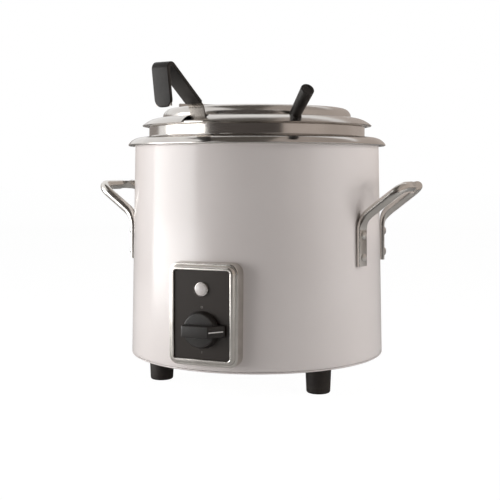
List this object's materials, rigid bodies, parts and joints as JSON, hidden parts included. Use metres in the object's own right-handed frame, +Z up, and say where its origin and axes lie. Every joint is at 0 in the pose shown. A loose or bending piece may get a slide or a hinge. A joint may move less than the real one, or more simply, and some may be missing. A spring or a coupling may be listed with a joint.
{
  "type": "soup kettle",
  "caption": "Countertop electric soup kettle: white drum on feet, stainless well with lift-out inset, hinged notched lid, ladle, carrying handles and a thermostat panel.",
  "frame": {"origin": "on the floor under the middle of the whole object's outline, ladle hook to cord gland and handle to handle; the drum's axis stands 14.2 mm behind it", "axes": "+X to the right as seen from the control panel, -Y towards the front where the panel is, +Z up along the drum's axis"},
  "size_m": [0.4108, 0.3798, 0.3808],
  "materials": {
    "white_paint": "gloss",
    "stainless": "bright",
    "lid_steel": "satin",
    "ladle_steel": "satin",
    "handle_steel": "bright",
    "rivet_aluminium": "satin",
    "zinc": "plated",
    "foot_rubber": "matt",
    "glass_wool": "matt",
    "heater_sheath": "dull",
    "ceramic_body": "matt",
    "bezel_metal": "satin",
    "black_plate": "satin",
    "black_plastic": "satin",
    "knob_plastic": "satin",
    "grip_plastic": "satin",
    "copper": "bright",
    "lamp_rim": "bright",
    "lamp_lens": "clear",
    "lead_sleeve": "matt",
    "white_line": "gloss"
  },
  "bodies": {
    "housing": {"front_left_foot": "foot_rubber", "front_right_foot": "foot_rubber", "rear_foot": "foot_rubber", "foot_screws": "zinc", "foot_nuts": "zinc", "base_pan": "white_paint", "drum": "white_paint", "well_ring": "stainless", "water_well": "stainless", "insulation_jacket": "glass_wool", "heating_element": "heater_sheath", "heater_clamp_plate": "zinc", "heater_studs": "zinc", "stud_nuts": "zinc", "thermal_cutout": "ceramic_body", "right_handle": "handle_steel", "left_handle": "handle_steel", "right_handle_rivets": "rivet_aluminium", "left_handle_rivets": "rivet_aluminium", "control_bezel": "bezel_metal", "control_face_plate": "black_plate", "bezel_studs": "zinc", "bezel_nuts": "zinc", "thermostat_body": "black_plastic", "thermostat_nut": "zinc", "thermostat_bulb": "copper", "bulb_clip": "stainless", "capillary_tube": "copper", "pilot_lamp_body": "lamp_rim", "pilot_lamp_lens": "lamp_lens", "pilot_lamp_nut": "zinc", "cord_gland": "black_plastic", "gland_nut": "black_plastic", "terminal_block": "ceramic_body", "internal_leads": "lead_sleeve"},
    "knob": {"control_knob": "knob_plastic", "knob_pointer": "white_line", "thermostat_shaft": "zinc"},
    "inset": {"inset_pan": "stainless"},
    "lid": {"lid_rear_half": "lid_steel", "hinge_leaf_rear": "lid_steel", "hinge_pin": "zinc", "hinge_rivets_rear": "rivet_aluminium"},
    "lid_flap": {"lid_front_half": "lid_steel", "hinge_leaf_front": "lid_steel", "hinge_rivets_front": "rivet_aluminium", "lid_handle": "black_plastic", "lid_handle_screw": "zinc"},
    "ladle": {"ladle_bowl": "ladle_steel", "ladle_strip": "ladle_steel", "ladle_rivets": "rivet_aluminium", "ladle_grip": "grip_plastic"}
  },
  "joints": [
    {"name": "knob_turn", "type": "hinge", "parent": "housing", "child": "knob", "pos_m": [0, -0.15387, 0.0833], "axis": [0, -1, 0], "range_deg": [-210, 90]},
    {"name": "inset_lift", "type": "slide", "parent": "housing", "child": "inset", "axis": [0, 0, 1], "range_m": [0, 0.25]},
    {"name": "lid_lift", "type": "slide", "parent": "inset", "child": "lid", "axis": [0, 0, 1], "range_m": [0, 0.15]},
    {"name": "lid_hinge", "type": "hinge", "parent": "lid", "child": "lid_flap", "pos_m": [0, 0.01416, 0.34125], "axis": [-0.7466, -0.6652, 0], "range_deg": [0, 105]},
    {"name": "ladle_lift", "type": "slide", "parent": "inset", "child": "ladle", "axis": [-0.0554, -0.3208, 0.9455], "range_m": [0, 0.13]}
  ]
}
